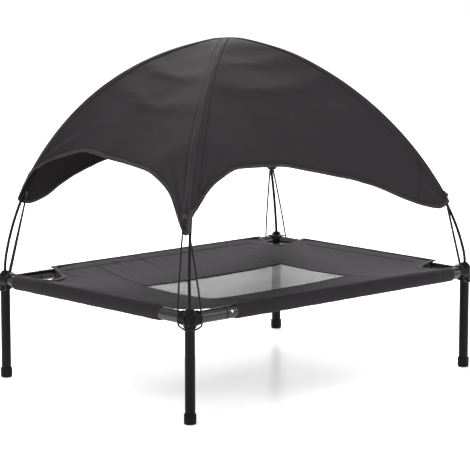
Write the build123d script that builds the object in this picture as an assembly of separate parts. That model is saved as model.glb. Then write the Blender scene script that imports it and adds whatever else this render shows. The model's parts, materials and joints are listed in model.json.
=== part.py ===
from build123d import *
import os
from math import atan, cos, hypot, radians, sin, sqrt, tan

# Raised dog bed with a sun canopy. Origin at the middle of the footprint, on the floor.
# X runs along the long side, Y along the short side, from front to back, and Z up.

# ---- driving dimensions, millimetres ----
span_x = 775.0            # between corner axes, along the long rails
span_y = 575.0            # between corner axes, along the short rails
rail_height = 204.0       # rail axis above the floor

rail_dia = 25.0
rail_wall = 1.2
leg_dia = 20.0
leg_wall = 1.2
tube_fit = 0.1            # radial gap between a tube and the plastic that holds it
slip_fit = 0.15           # radial gap between a stub's neck and the rail slid over it

foot_wall = 2.0
foot_floor = 5.0
foot_height = 20.0
foot_rounding = 3.0

column_wall = 2.4         # connector plastic round the leg
column_top = 12.0         # top of the straight column above the rail axis
column_drop = 17.0        # bottom of the column below the rail axis
leg_depth = 15.0          # how far the leg goes up into the column
cone_height = 8.0         # cone round the pole, on top of the column
cone_wall = 3.2
pole_floor = 1.0          # bottom of the pole socket above the rail axis
collar_wall = 2.0
collar_length = 6.8       # how much of the stub the collar covers
stub_web = 0.7            # between the column's side and the stub's end
spigot_reach = 58.0       # from the corner axis
spigot_wall = 2.5

joint_at = 87.0           # where the rail meets the stub, from the corner axis
neck_length = 35.0        # reduced end of the stub inside the rail
rail_gap = 0.4            # between the stub's shoulder and the rail's end
swage_length = 2.0        # taper outside, from the full tube to the neck
swage_bore = (4.0, 1.0)   # taper inside, from and to these distances before the joint

button_dia = 6.0
button_at = 98.0          # from the corner axis
button_tilt = 20.0        # degrees above level, on the outer side of the rail
button_proud = 2.4
button_travel = 2.4
button_clearance = 0.2
flange_margin = 1.2
flange_thickness = 1.2
flange_gap = 0.3          # between the flange and the neck's wall
spring_width = 6.0
spring_thickness = 0.6
spring_length = 30.0
spring_bend = 2.0         # inner radius of the V
spring_lip = 2.0          # how far the upper leaf reaches past the middle of its half

screw_dia = 2.8
screw_head_dia = 5.2
screw_head_height = 1.6
screw_clearance = 0.1
screw_past = 1.5          # how far a screw goes past the wall it bites in
leg_screw_drop = 10.0     # below the rail axis

fabric_thickness = 1.0
sleeve_clearance = 0.4    # between the sleeve and the rail in it
sling_sag = 11.4          # middle of the sling below the top of the sleeves
mesh_size = (387.0, 204.0)
mesh_centre = (28.0, -2.0)
mesh_border = 25.0        # flat cloth round the mesh
mesh_gap = 0.2
notch_rounding = 0.8      # of the notch's shorter side
notches = {               # corner cut-out of the sling: along X, along Y
    "front_left": (116.0, 82.0),
    "front_right": (47.0, 88.0),
    "back_left": (124.0, 40.0),
    "back_right": (53.0, 88.0),
}
pocket_margin = 1.0       # room in a sleeve round a button

pole_dia = 6.0
pole_fit = 0.3            # radial gap between a pole and its socket
socket_stand = 20.0       # the pole is straight up to here, above the rail axis
pole_rise = 491.0         # crown of the upper pole above the rail axis
crown_shift = 20.0        # crown of the canopy, from the bed's middle towards its back left corner
pole_arcs = {             # degrees of the four arcs from the socket to the crown, first and third radius
    "front_left": ((7.0, 27.0, 38.0, 18.0), 200.0, 644.0),
    "back_right": ((7.0, 27.0, 38.0, 18.0), 200.0, 644.0),
    "back_left": ((10.0, 35.0, 25.0, 20.0), 198.0, 492.0),
    "front_right": ((13.8, 14.7, 34.5, 27.0), 116.0, 716.0),
}
pole_cross_gap = 0.4      # between the two poles at the crown
section_length = 504.0    # arc length of a pole's lower section above its socket
section_gap = 0.3
ferrule_length = 60.0
ferrule_wall = 0.9
ferrule_fit = 0.1

canopy_offset = 8.0       # cloth ridge outside the pole's axis
canopy_thickness = 1.5
canopy_levels = 12
crown_flat = 1.2          # height of the flat top of the crown
ridge_fineness = 0.001
tip_height = 165.0        # lowest cloth above the rail axis
tip_width = 14.0
hem_rise_short = 280.0    # top of the arch in the hem, over a short rail
hem_rise_long = 262.0

cord_dia = 3.4
cord_clearance = 0.9
cord_top_apart = 3.0      # half the distance between the two ends
cord_turn_drop = 9.0      # where a strand turns in under the connector, below the rail axis
cord_side_in = 2.0        # where it passes the column's side, in from the corner axis
cord_front_half = 7.0     # half of the straight run across the leg's front
cord_bend = 12.0
cord_bend_share = 0.45    # most of a straight run that one bend takes

# ---- sizes that follow ----
rail_r = rail_dia / 2
rail_bore_r = rail_r - rail_wall
leg_r = leg_dia / 2
column_r = leg_r + tube_fit + column_wall
collar_r = rail_r + tube_fit + collar_wall
stub_start = max(column_r, rail_r) + stub_web
collar_reach = stub_start + collar_length
spigot_r = rail_bore_r - tube_fit
neck_r = rail_bore_r - slip_fit
neck_bore_r = neck_r - rail_wall
pole_r = pole_dia / 2
cord_r = cord_dia / 2
sleeve_r = rail_r + sleeve_clearance + fabric_thickness
half_diagonal = hypot(span_x, span_y) / 2
diagonal = (span_x / 2 / half_diagonal, span_y / 2 / half_diagonal)

corners = {"front_left": (-1, -1), "front_right": (1, -1), "back_left": (-1, 1), "back_right": (1, 1)}
around = ("front_left", "front_right", "back_right", "back_left")
rails = {                 # direction, and the corner that each is drawn from
    "front": ("x", "front_left"),
    "back": ("x", "back_left"),
    "left": ("y", "front_left"),
    "right": ("y", "front_right"),
}
nodes = {}


def rod(radius, start, end, direction="z"):
    """A solid cylinder on a corner's own x, y or z axis, from start to end."""
    axis = {"x": (1, 0, 0), "y": (0, 1, 0), "z": (0, 0, 1)}[direction]
    origin = tuple(start * part for part in axis)
    base = Plane(origin=origin, z_dir=axis)
    return base * Cylinder(radius, end - start, align=(Align.CENTER, Align.CENTER, Align.MIN))


def tube(outer, inner, start, end, direction="z"):
    return rod(outer, start, end, direction) - rod(inner, start, end, direction)


def at_corner(shape, name):
    """Moves a shape drawn for the front left corner's own axes to the named corner."""
    side_x, side_y = corners[name]
    if side_x > 0:
        shape = mirror(shape, about=Plane.YZ)
    if side_y > 0:
        shape = mirror(shape, about=Plane.XZ)
    return Pos(side_x * span_x / 2, side_y * span_y / 2, rail_height) * shape


def other_arm(shape):
    """Turns a shape drawn for the x arm to the y arm of the same corner."""
    return mirror(shape, about=Plane(origin=(0, 0, 0), z_dir=(1, -1, 0)))


def button_plane():
    """The button's own plane: on the x arm's axis, looking out through the rail's wall."""
    tilt = radians(button_tilt)
    return Plane(origin=(button_at, 0, 0), x_dir=(1, 0, 0), z_dir=(0, -cos(tilt), sin(tilt)))


def button_hole(radius):
    return button_plane() * rod(radius, 0, 2 * rail_r)


# ---- frame ----
def leg():
    top = leg_depth - column_drop
    body = tube(leg_r, leg_r - leg_wall, foot_floor - rail_height, top)
    return body - leg_screw_hole()


def foot():
    outer = rod(leg_r + tube_fit + foot_wall, -rail_height, foot_height - rail_height)
    bottom = outer.edges().filter_by(GeomType.CIRCLE).sort_by(Axis.Z)[0]
    outer = fillet(bottom, foot_rounding)
    bore = rod(leg_r + tube_fit, foot_floor - rail_height, foot_height - rail_height)
    return outer - bore


def screw_plane():
    """Looks out of the corner along the diagonal, at the leg screw."""
    outward = (-diagonal[0], -diagonal[1], 0)
    return Plane(origin=(0, 0, -leg_screw_drop), x_dir=(0, 0, 1), z_dir=outward)


def leg_screw_hole():
    return screw_plane() * rod(screw_dia / 2 + screw_clearance, 0, 2 * column_r)


def leg_screw():
    seat = column_r
    head = rod(screw_head_dia / 2, seat, seat + screw_head_height)
    shank = rod(screw_dia / 2, leg_r - leg_wall - screw_past, seat)
    return screw_plane() * (head + shank)


def stub_screw_plane():
    return Plane(origin=((stub_start + collar_reach) / 2, 0, 0), x_dir=(1, 0, 0), z_dir=(0, 0, -1))


def stub_screw_hole():
    return stub_screw_plane() * rod(screw_dia / 2 + screw_clearance, 0, 2 * collar_r)


def stub_screw():
    """Pan-head screw up through the collar, the stub and the spigot's wall."""
    seat = collar_r
    head = rod(screw_head_dia / 2, seat, seat + screw_head_height)
    shank = rod(screw_dia / 2, spigot_r - spigot_wall - screw_past, seat)
    return stub_screw_plane() * (head + shank)


def connector_arm():
    """Collar and hollow spigot along x; the ring between them takes the stub."""
    return rod(collar_r, 0, collar_reach, "x") + rod(spigot_r, 0, spigot_reach, "x")


def arm_space():
    ring = tube(rail_r + tube_fit, spigot_r, stub_start - tube_fit, collar_reach, "x")
    hollow = rod(spigot_r - spigot_wall, collar_reach, spigot_reach, "x")
    return ring + hollow + stub_screw_hole()


def connector():
    """Three-way moulding: column for the leg, two arms, and a cone that the pole stands in."""
    column = rod(column_r, -column_drop, column_top)
    cone_top_r = pole_r + pole_fit + cone_wall
    cone = Pos(0, 0, column_top) * Cone(
        column_r, cone_top_r, cone_height, align=(Align.CENTER, Align.CENTER, Align.MIN))
    body = column + cone + connector_arm() + other_arm(connector_arm())
    body -= arm_space() + other_arm(arm_space())
    body -= rod(leg_r + tube_fit, -2 * collar_r, leg_depth - column_drop + tube_fit)
    body -= rod(pole_r + pole_fit, pole_floor, column_top + cone_height)
    return body - leg_screw_hole()


def stub():
    """Steel tube fixed in a collar; its reduced neck goes into the rail."""
    end = joint_at + neck_length
    outline = [
        (stub_start, rail_r), (joint_at - swage_length, rail_r), (joint_at, neck_r), (end, neck_r),
        (end, neck_bore_r), (joint_at - swage_bore[1], neck_bore_r), (joint_at - swage_bore[0], rail_bore_r),
        (stub_start, rail_bore_r),
    ]
    body = revolve(make_face(Polyline(*outline, close=True)), Axis.X)
    return body - stub_screw_hole() - button_hole(button_dia / 2 + button_clearance)


def rail(span):
    """Rail tube along x, drawn from the corner axis at its left end."""
    start = joint_at + rail_gap
    body = tube(rail_r, rail_bore_r, start, span - start, "x")
    hole = button_hole(button_dia / 2 + button_clearance)
    return body - hole - Pos(span, 0, 0) * mirror(hole, about=Plane.YZ)


def button():
    """Domed push button with a flange that stays behind the neck's wall."""
    radius = button_dia / 2
    flange_r = radius + flange_margin
    flange_top = sqrt(neck_bore_r**2 - flange_r**2) - flange_gap
    dome_top = rail_r + button_proud
    dome_base = dome_top - radius / 2
    lower = rod(flange_r, flange_top - flange_thickness, flange_top)
    shank = rod(radius, flange_top, dome_top)
    dome_r = (radius**2 + (radius / 2) ** 2) / radius
    dome = Pos(0, 0, dome_top - dome_r) * Sphere(dome_r)
    shank = (shank & dome) + rod(radius, flange_top, dome_base)
    return button_plane() * (lower + shank)


def button_spring():
    """V spring lying in the neck: one leaf on the far wall, one under the button."""
    half = spring_width / 2
    low = -sqrt(neck_bore_r**2 - half**2) + spring_thickness
    flange_top = sqrt(neck_bore_r**2 - (button_dia / 2 + flange_margin) ** 2) - flange_gap
    high = flange_top - flange_thickness - button_travel - 2 * spring_thickness
    bend = spring_length / 2
    line = FilletPolyline((-bend, low), (bend, low), (spring_lip - bend / 2, high), radius=spring_bend)
    leaf = extrude(trace(line, spring_thickness), half, both=True)
    tilt = radians(button_tilt)
    return Plane(origin=(button_at, 0, 0), x_dir=(1, 0, 0), z_dir=(0, -sin(tilt), -cos(tilt))) * leaf


# ---- sling ----
def dish(drop):
    """Solid of the hollow in the sling, its rim on the rails' axes."""
    rim = rail_height + sleeve_r - drop
    floor = rim - sling_sag
    inner = (mesh_size[0] + 2 * mesh_border, mesh_size[1] + 2 * mesh_border)
    top = Pos(0, 0, rim) * Rectangle(span_x, span_y)
    bottom = Pos(*mesh_centre, floor) * Rectangle(*inner)
    return loft([bottom, top], ruled=True)


def notch(name):
    """Cut-out of the sling at a corner, with its inner corner rounded."""
    size_x, size_y = notches[name]
    side_x, side_y = corners[name]
    margin = 2 * sleeve_r
    face = Rectangle(size_x + margin, size_y + margin, align=(Align.MIN, Align.MIN))
    inner = face.vertices().sort_by(lambda v: v.X + v.Y)[-1]
    face = fillet(inner, notch_rounding * min(size_x, size_y))
    shape = Pos(-margin, -margin, -margin) * extrude(face, 2 * margin)
    return at_corner(shape, name)


def button_pocket(name, arm):
    room = button_hole(button_dia / 2 + pocket_margin)
    return at_corner(other_arm(room) if arm == "y" else room, name)


def sling():
    """Cloth dish with a sleeve round each rail and a window for the mesh."""
    bore_r = rail_r + sleeve_clearance
    pieces = [dish(fabric_thickness) - dish(0)]
    cutters = [Pos(*mesh_centre, rail_height) * Box(*mesh_size, 4 * rail_dia)]
    for direction, span, gap in (("x", span_x, span_y), ("y", span_y, span_x)):
        for side in (-gap / 2, gap / 2):
            place = Pos(0, side, rail_height) if direction == "x" else Pos(side, 0, rail_height)
            pieces.append(place * rod(sleeve_r, -span / 2, span / 2, direction))
            cutters.append(place * rod(bore_r, -span / 2, span / 2, direction))
    for name in corners:
        cutters += [notch(name), button_pocket(name, "x"), button_pocket(name, "y")]
    cloth = None
    for piece in pieces:
        for cutter in cutters:
            piece -= cutter
        cloth = piece if cloth is None else cloth + piece
    return cloth


def mesh_panel():
    top = rail_height + sleeve_r - sling_sag
    size = [side - 2 * mesh_gap for side in mesh_size]
    low = (Align.CENTER, Align.CENTER, Align.MAX)
    return Pos(*mesh_centre, top) * Box(*size, fabric_thickness, align=low)


# ---- canopy ----
def arch_foot(corner):
    """Under a corner's half arch: way out from the crown, nearest point to the crown, reach, sideways lean."""
    aim = [side * part for side, part in zip(corners[corner], diagonal)]
    shift = (-crown_shift * diagonal[0], crown_shift * diagonal[1])
    ahead = shift[0] * aim[0] + shift[1] * aim[1]
    foot = (ahead * aim[0], ahead * aim[1])
    return aim, foot, half_diagonal - ahead, (shift[0] - foot[0], shift[1] - foot[1])


def arch_radii(corner, rise):
    """Radii of a half arch's four arcs, so that it ends level at the crown."""
    degrees, root_radius, flank_radius = pole_arcs[corner]
    turns = [radians(turn) for turn in degrees]
    heads = [sum(turns[:i]) for i in range(5)]
    inward = [cos(heads[i]) - cos(heads[i + 1]) for i in range(4)]
    upward = [sin(heads[i + 1]) - sin(heads[i]) for i in range(4)]
    reach = arch_foot(corner)[2] - root_radius * inward[0] - flank_radius * inward[2]
    climb = rise - socket_stand - root_radius * upward[0] - flank_radius * upward[2]
    det = inward[1] * upward[3] - inward[3] * upward[1]
    lower = (reach * upward[3] - inward[3] * climb) / det
    crown = (inward[1] * climb - reach * upward[1]) / det
    return [root_radius, lower, flank_radius, crown]


def arch_steps(corner, rise):
    """Length of each of a half arch's arcs."""
    return [r * radians(t) for r, t in zip(arch_radii(corner, rise), pole_arcs[corner][0])]


def arch_length(corner, rise):
    return sum(arch_steps(corner, rise))


def arch_point(corner, rise, travel, offset=0.0):
    """Point of a half arch after a travel from its socket, on its outer side by an offset."""
    aim, foot, out, lean = arch_foot(corner)
    up, head, left = socket_stand, 0.0, travel
    for radius, degrees in zip(arch_radii(corner, rise), pole_arcs[corner][0]):
        step = min(radians(degrees), max(left, 0) / radius)
        out -= radius * (cos(head) - cos(head + step))
        up += radius * (sin(head + step) - sin(head))
        head += step
        left -= radius * radians(degrees)
    out += offset * cos(head)
    climb = up + offset * sin(head) - socket_stand
    climb *= cos(atan(hypot(*lean) / (pole_rise - socket_stand)))
    place = [foot[i] + out * aim[i] + climb / (pole_rise - socket_stand) * lean[i] for i in (0, 1)]
    return (*place, rail_height + socket_stand + climb)


def pole_point(pair, rise, travel):
    """Point of a whole pole after a travel from the socket at the first of its two corners."""
    first, last = pair
    half = arch_length(first, rise)
    if travel > half:
        return arch_point(last, rise, half + arch_length(last, rise) - travel)
    return arch_point(first, rise, travel)


def pole_breaks(pair, rise):
    """Travels at which one arc of a whole pole gives way to the next."""
    near, far = arch_steps(pair[0], rise), arch_steps(pair[1], rise)
    steps = near + far[::-1]
    return [sum(steps[:i]) for i in range(len(steps) + 1)]


def arch_rod(pair, rise, start, end, radius):
    """A round rod along a pole between two travels."""
    stops = [start] + [b for b in pole_breaks(pair, rise) if start + 1 < b < end - 1] + [end]
    places = [[pole_point(pair, rise, t) for t in (a, (a + b) / 2, b)] for a, b in zip(stops, stops[1:])]
    path = Wire([ThreePointArc(*three) for three in places])
    return sweep(Plane(origin=path @ 0, z_dir=path % 0) * Circle(radius), path=path)


def pole_sections(pair, rise):
    """Two lower sections, each with its straight end in a socket, and the middle one."""
    whole = sum(arch_length(corner, rise) for corner in pair)
    gap = section_gap / 2
    foot_at = rail_height + pole_floor + section_gap
    pieces = []
    for corner, span in zip(pair, ((0, section_length - gap), (whole - section_length + gap, whole))):
        side_x, side_y = corners[corner]
        tail = rod(pole_r, foot_at, rail_height + socket_stand)
        tail += Pos(0, 0, rail_height + socket_stand) * Sphere(pole_r)
        tail = Pos(side_x * span_x / 2, side_y * span_y / 2, 0) * tail
        pieces.append(arch_rod(pair, rise, *span, pole_r) + tail)
    middle = arch_rod(pair, rise, section_length + gap, whole - section_length - gap, pole_r)
    return pieces[0], middle, pieces[1]


def ferrules(pair, rise):
    whole = sum(arch_length(corner, rise) for corner in pair)
    outer = pole_r + ferrule_fit + ferrule_wall
    half = ferrule_length / 2
    for joint in (section_length, whole - section_length):
        ends = (joint - half, joint + half)
        sleeve = arch_rod(pair, rise, *ends, outer)
        yield sleeve - arch_rod(pair, rise, *ends, pole_r + ferrule_fit)


def ridge_point(corner, height, offset):
    """Point of a ridge of the canopy at a height above the rails' axis."""
    low, high = 0.0, arch_length(corner, pole_rise)
    while high - low > ridge_fineness:
        middle = (low + high) / 2
        if arch_point(corner, pole_rise, middle, offset)[2] < rail_height + height:
            low = middle
        else:
            high = middle
    return arch_point(corner, pole_rise, low, offset)


def vault(offset):
    """Four-sided vault between the ridges over the poles, as a stack of ruled frusta."""
    top = pole_rise + offset
    stack, lower = None, None
    for i in range(canopy_levels + 1):
        height = tip_height + (top - crown_flat - tip_height) * sin(radians(90 * i / canopy_levels))
        ring = [ridge_point(corner, height, offset)[:2] for corner in around]
        upper = Pos(0, 0, rail_height + height) * make_face(Polyline(*ring, close=True))
        if lower is not None:
            step = loft([lower, upper], ruled=True)
            stack = step if stack is None else stack + step
        lower = upper
    return stack


def hem_cutter(span, rise, direction):
    """Half an ellipse, run right through the canopy, that leaves two tips and the arch."""
    foot_in = half_diagonal - hypot(*ridge_point("front_left", tip_height, 0)[:2])
    half_width = span / 2 * (1 - foot_in / half_diagonal) - tip_width
    height = rise - tip_height
    base = Plane.YZ if direction == "x" else Plane.XZ
    shape = extrude(base * Ellipse(half_width, height), max(span_x, span_y), both=True)
    return Pos(0, 0, rail_height + tip_height) * shape


def canopy():
    cloth = vault(canopy_offset) - vault(canopy_offset - canopy_thickness)
    cloth -= hem_cutter(span_y, hem_rise_short, "x")
    return cloth - hem_cutter(span_x, hem_rise_long, "y")


def cord_route(corner):
    """Points of one elastic loop, from one end at the canopy's tip down round the corner and back."""
    along, across = diagonal, (diagonal[1], -diagonal[0])
    top = tip_height - cord_clearance
    ridge = ridge_point(corner, top, pole_r + cord_r + cord_clearance)
    tip = (span_x / 2 - abs(ridge[0]), span_y / 2 - abs(ridge[1]))
    beside = collar_r + cord_r + cord_clearance
    past_collar = collar_reach + cord_r + cord_clearance
    under = -(column_drop + cord_r + cord_clearance)
    front = leg_r + cord_r + cord_clearance
    beside_column = column_r + cord_r + cord_clearance
    turn = []
    for side in (1, -1):
        start = [tip[i] + side * cord_top_apart * across[i] for i in (0, 1)]
        beneath = [cord_side_in * along[i] + side * beside_column * across[i] for i in (0, 1)]
        crossing = [-front * along[i] + side * cord_front_half * across[i] for i in (0, 1)]
        arm = (past_collar, -beside) if side > 0 else (-beside, past_collar)
        half = [(*start, top), (*arm, -cord_turn_drop), (*beneath, under), (*crossing, under)]
        turn += half if side > 0 else half[::-1]
    return turn


def elastic_cord(corner):
    points = [Vector(*point) for point in cord_route(corner)]
    radii = []
    for before, here, after in zip(points, points[1:], points[2:]):
        turn = radians((here - before).get_angle(after - here))
        room = cord_bend_share * min((here - before).length, (after - here).length) / tan(turn / 2)
        radii.append(min(room, cord_bend))
    path = FilletPolyline(*points, radius=radii)
    print("elastic cord %s: length %.1f mm, bend radii" % (corner, path.length), [round(r, 1) for r in radii])
    return sweep(Plane(origin=path @ 0, z_dir=path % 0) * Circle(cord_r), path=path)


def build():
    shapes = {"leg": leg(), "foot_cap": foot(), "corner_connector": connector()}
    arm_shapes = {"stub": stub(), "snap_button": button()}
    screw, arm_screw, leaf = leg_screw(), stub_screw(), button_spring()
    leg_screws, stub_screws, springs = [], [], []
    for name in corners:
        for kind, shape in shapes.items():
            nodes["%s_%s" % (kind, name)] = at_corner(shape, name)
        for arm, turned in (("x", False), ("y", True)):
            for kind, shape in arm_shapes.items():
                placed = other_arm(shape) if turned else shape
                nodes["%s_%s_%s" % (kind, name, arm)] = at_corner(placed, name)
            stub_screws.append(at_corner(other_arm(arm_screw) if turned else arm_screw, name))
            springs.append(at_corner(other_arm(leaf) if turned else leaf, name))
        leg_screws.append(at_corner(screw, name))
        nodes["elastic_loop_%s" % name] = at_corner(elastic_cord(name), name)
    for name, (direction, start) in rails.items():
        shape = rail(span_x) if direction == "x" else other_arm(rail(span_y))
        nodes["rail_%s" % name] = at_corner(shape, start)
    nodes["leg_screws"] = Compound([s.solid() for s in leg_screws])
    nodes["stub_screws"] = Compound([s.solid() for s in stub_screws])
    nodes["button_springs"] = Compound([s.solid() for s in springs])
    nodes["sling_fabric"] = sling()
    nodes["sling_mesh"] = mesh_panel()
    nodes["canopy_fabric"] = canopy()
    lower_rise = pole_rise - pole_dia - pole_cross_gap
    sleeves = []
    for pole, pair, rise in (("a", around[2::-2], pole_rise), ("b", around[3::-2], lower_rise)):
        names = (pair[0], "middle", pair[1])
        for name, shape in zip(names, pole_sections(pair, rise)):
            nodes["pole_%s_%s" % (pole, name)] = shape
        sleeves += [sleeve.solid() for sleeve in ferrules(pair, rise)]
    nodes["pole_ferrules"] = Compound(sleeves)


build()
os.makedirs("parts", exist_ok=True)
for node, shape in nodes.items():
    export_step(shape, "parts/%s.step" % node)
for corner in around:
    print("half arch", corner, [round(r, 1) for r in arch_radii(corner, pole_rise)])
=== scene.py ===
"""Looks of a raised dog bed with a sun canopy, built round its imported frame.

Lengths are in metres. Corners are named front_left, front_right, back_left and back_right; X runs along
the long side, Y from front to back, and Z up from the floor.
"""
import json
from math import cos, hypot, pi, radians, sin, sqrt

import bpy
import numpy as np
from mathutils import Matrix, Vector


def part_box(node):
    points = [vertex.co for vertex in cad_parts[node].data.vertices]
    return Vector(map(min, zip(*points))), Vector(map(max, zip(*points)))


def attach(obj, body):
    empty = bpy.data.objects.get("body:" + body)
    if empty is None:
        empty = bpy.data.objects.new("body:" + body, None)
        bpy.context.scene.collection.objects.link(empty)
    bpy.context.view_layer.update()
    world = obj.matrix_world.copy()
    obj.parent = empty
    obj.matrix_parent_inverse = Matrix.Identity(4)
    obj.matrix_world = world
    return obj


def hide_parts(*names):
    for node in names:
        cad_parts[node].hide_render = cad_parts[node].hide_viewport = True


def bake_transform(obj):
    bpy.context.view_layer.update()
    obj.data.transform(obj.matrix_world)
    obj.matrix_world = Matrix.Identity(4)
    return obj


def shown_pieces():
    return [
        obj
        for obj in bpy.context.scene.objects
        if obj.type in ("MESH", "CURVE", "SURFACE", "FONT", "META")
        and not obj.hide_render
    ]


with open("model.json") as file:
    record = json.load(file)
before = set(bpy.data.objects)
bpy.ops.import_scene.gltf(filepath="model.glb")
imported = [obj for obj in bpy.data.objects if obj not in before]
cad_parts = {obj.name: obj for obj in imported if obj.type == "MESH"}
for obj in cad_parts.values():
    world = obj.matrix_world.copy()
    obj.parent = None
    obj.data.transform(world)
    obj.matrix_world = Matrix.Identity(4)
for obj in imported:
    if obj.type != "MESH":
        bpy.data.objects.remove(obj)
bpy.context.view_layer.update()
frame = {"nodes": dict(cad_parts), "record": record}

scene = bpy.context.scene
MM = 0.001

# ---- sizes read from the frame ----
rail_low, rail_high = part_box("rail_front")
side_low, side_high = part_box("rail_left")
rail_axis = (rail_low.z + rail_high.z) / 2
rail_r = (rail_high.z - rail_low.z) / 2
half_x = -(side_low.x + side_high.x) / 2          # corner axes
half_y = -(rail_low.y + rail_high.y) / 2
half_diagonal = hypot(half_x, half_y)
toward = np.array([half_x, half_y]) / half_diagonal
pole_high = {"a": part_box("pole_a_middle")[1].z, "b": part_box("pole_b_middle")[1].z}
pole_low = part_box("pole_a_front_left")[0]
pole_r = (pole_low.x + half_x) * -1
corner_signs = {"front_left": (-1, -1), "front_right": (1, -1), "back_right": (1, 1), "back_left": (-1, 1)}


# ---- camera ----
def make_camera():
    """Stands off the left front corner, a little above the bed, and looks at its middle."""
    target = Vector((-3.5, 3.0, 290.3)) * MM
    distance, azimuth, elevation = 4.942, radians(-42.68), radians(8.93)
    back = Vector((sin(azimuth) * cos(elevation), -cos(azimuth) * cos(elevation), sin(elevation)))
    data = bpy.data.cameras.new("view")
    data.sensor_width, data.lens = 36.0, 181.7
    data.clip_start, data.clip_end = 0.1, 60.0
    camera = bpy.data.objects.new("view", data)
    scene.collection.objects.link(camera)
    camera.location = target + back * distance
    camera.rotation_mode = "QUATERNION"
    camera.rotation_quaternion = (-back).to_track_quat("-Z", "Y")
    scene.camera = camera


# ---- meshes from arrays ----
def strip(rows, columns, loop=False, start=0):
    """Corner numbers of the quads of a grid whose points run along each row in turn."""
    spread = columns if loop else columns - 1
    row, column = np.meshgrid(np.arange(rows - 1), np.arange(spread), indexing="ij")
    here, beside = row * columns + column, row * columns + (column + 1) % columns
    return start + np.stack([here, beside, beside + columns, here + columns], -1).reshape(-1, 4)


def make_piece(name, points, quads, uv=None, fans=None, weld=False):
    """Mesh of points and quads, with uv as one pair per point and fans as extra triangles."""
    points = np.asarray(points, float).reshape(-1, 3)
    mesh = bpy.data.meshes.new(name)
    quads = np.asarray(quads, np.int32).reshape(-1, 4)
    fans = np.zeros((0, 3), np.int32) if fans is None else np.asarray(fans, np.int32).reshape(-1, 3)
    corners = np.concatenate([quads.ravel(), fans.ravel()])
    chart = None if uv is None else np.asarray(uv, np.float32).reshape(-1, 2)[corners]
    if weld:
        points, number = merged(points)
        corners = number[corners]
    totals = np.concatenate([np.full(len(quads), 4), np.full(len(fans), 3)]).astype(np.int32)
    starts = np.concatenate([[0], np.cumsum(totals)[:-1]]).astype(np.int32)
    mesh.vertices.add(len(points))
    mesh.vertices.foreach_set("co", points.astype(np.float32).ravel())
    mesh.loops.add(len(corners))
    mesh.loops.foreach_set("vertex_index", corners.astype(np.int32))
    mesh.polygons.add(len(totals))
    mesh.polygons.foreach_set("loop_start", starts)
    mesh.polygons.foreach_set("loop_total", totals)
    if uv is not None:
        layer = mesh.uv_layers.new(name="cut")
        layer.data.foreach_set("uv", chart.ravel())
    mesh.update(calc_edges=True)
    mesh.validate()
    mesh.polygons.foreach_set("use_smooth", np.full(len(mesh.polygons), True))
    piece = bpy.data.objects.new(name, mesh)
    scene.collection.objects.link(piece)
    return piece


def unit(v):
    """Vectors along the last axis, each scaled to length 1."""
    return v / np.maximum(np.linalg.norm(v, axis=-1, keepdims=True), 1e-12)


def run_of(points):
    """How far along a polyline each of its points is."""
    return np.concatenate([[0], np.cumsum(np.linalg.norm(np.diff(points, axis=0), axis=1))])


def along(points, step):
    """Points on a polyline about a step apart, and how far along it each one is."""
    points = np.asarray(points, float)
    far = run_of(points)
    count = max(2, int(round(far[-1] / step)) + 1)
    at = np.linspace(0, far[-1], count)
    return np.stack([np.interp(at, far, points[:, k]) for k in range(3)], 1), at


def smooth_curve(stops, x):
    """Cubic through (x, y) stops with level-limited slopes, so that it never swings past them."""
    sx, sy = np.array(stops, float).T
    h, d = np.diff(sx), np.diff(sy) / np.diff(sx)
    inner = np.where(d[:-1] * d[1:] > 0, 2 * d[:-1] * d[1:] / (d[:-1] + d[1:] + 1e-12 * np.sign(d[:-1])), 0)
    m = np.concatenate([[d[0]], inner, [d[-1]]])
    i = np.clip(np.searchsorted(sx, x) - 1, 0, len(h) - 1)
    u = (x - sx[i]) / h[i]
    rise = (3 - 2 * u) * u * u
    bend = h[i] * (m[i] * u * (1 - u) ** 2 - m[i + 1] * u * u * (1 - u))
    return sy[i] * (1 - rise) + sy[i + 1] * rise + bend


def ease(x, low, high):
    """0 below low, 1 above high, and a smooth step between them."""
    u = np.clip((x - low) / (high - low), 0, 1)
    return u * u * (3 - 2 * u)


def bump(x, width):
    """1 at zero, falling off smoothly on both sides."""
    return np.exp(-((x / width) ** 2))


def ripples(x, y, seed, waves=7, longest=0.12, shortest=0.03):
    """Smooth unevenness from -1 to 1: a sum of sine waves whose lengths, turns and phases are drawn once."""
    draw = np.random.default_rng(seed)
    total = np.zeros(np.broadcast(x, y).shape)
    weight = 0
    for length, turn, phase in zip(np.geomspace(longest, shortest, waves), draw.uniform(0, pi, waves),
                                   draw.uniform(0, 2 * pi, waves)):
        share = length / longest
        total += share * np.sin(2 * pi * (x * cos(turn) + y * sin(turn)) / length + phase)
        weight += share
    return total / weight * 1.6


def tube_grid(path, outline, normal=None):
    """Carries a closed outline of (across, up) pairs along a path.

    Up follows normal, or turns as little as it can where none is given, and across is square to it.
    """
    path = np.asarray(path, float)
    tangent = unit(np.gradient(path, axis=0))
    if normal is None:
        normal = np.zeros_like(path)
        last = np.array([0.31, 0.21, 0.93])
        for i, t in enumerate(tangent):
            last = last - t * (last @ t)
            last /= np.linalg.norm(last)
            normal[i] = last
    up = unit(normal - tangent * (normal * tangent).sum(1, keepdims=True))
    across = np.cross(tangent, up)
    outline = np.asarray(outline, float)
    if outline.ndim == 2:
        outline = np.broadcast_to(outline, (len(path), *outline.shape))
    return path[:, None] + across[:, None] * outline[..., :1] + up[:, None] * outline[..., 1:]


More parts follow.
